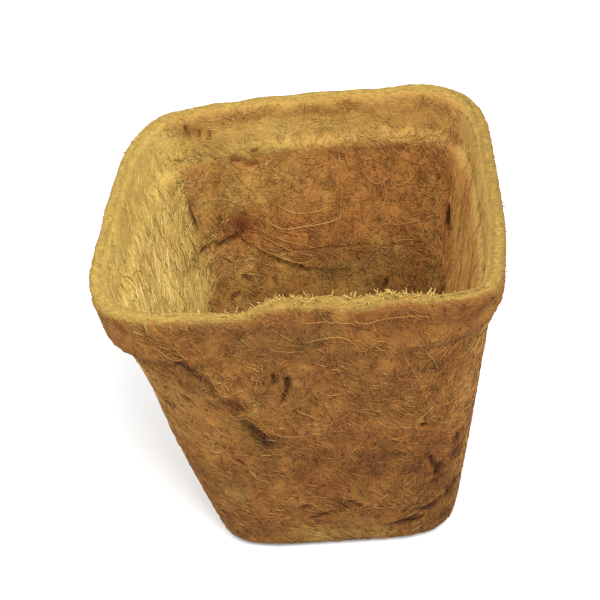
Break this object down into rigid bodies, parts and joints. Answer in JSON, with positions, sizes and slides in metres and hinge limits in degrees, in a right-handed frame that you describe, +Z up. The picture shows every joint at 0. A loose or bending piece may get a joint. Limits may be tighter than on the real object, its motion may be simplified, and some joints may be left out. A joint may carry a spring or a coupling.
{
  "type": "square coir plant pot",
  "caption": "Square tapered plant pot hot-pressed from lapped coconut-fibre felt, with an upright collar below the rim and an inner ledge, for raising and potting on young plants.",
  "frame": {"origin": "on the floor, under the middle of the pot's base", "axes": "+Z up through the mouth, -Y out of the front wall, +X to the right of the front wall"},
  "size_m": [0.1, 0.1, 0.0975],
  "materials": {
    "base_felt": "matt brown coir felt",
    "brown_felt": "matt brown coir felt",
    "golden_felt": "matt golden coir felt"
  },
  "bodies": {
    "root": {"base_blank": "base_felt", "front_panel": "brown_felt", "back_panel": "brown_felt", "left_panel": "golden_felt", "right_panel": "golden_felt"}
  },
  "joints": []
}
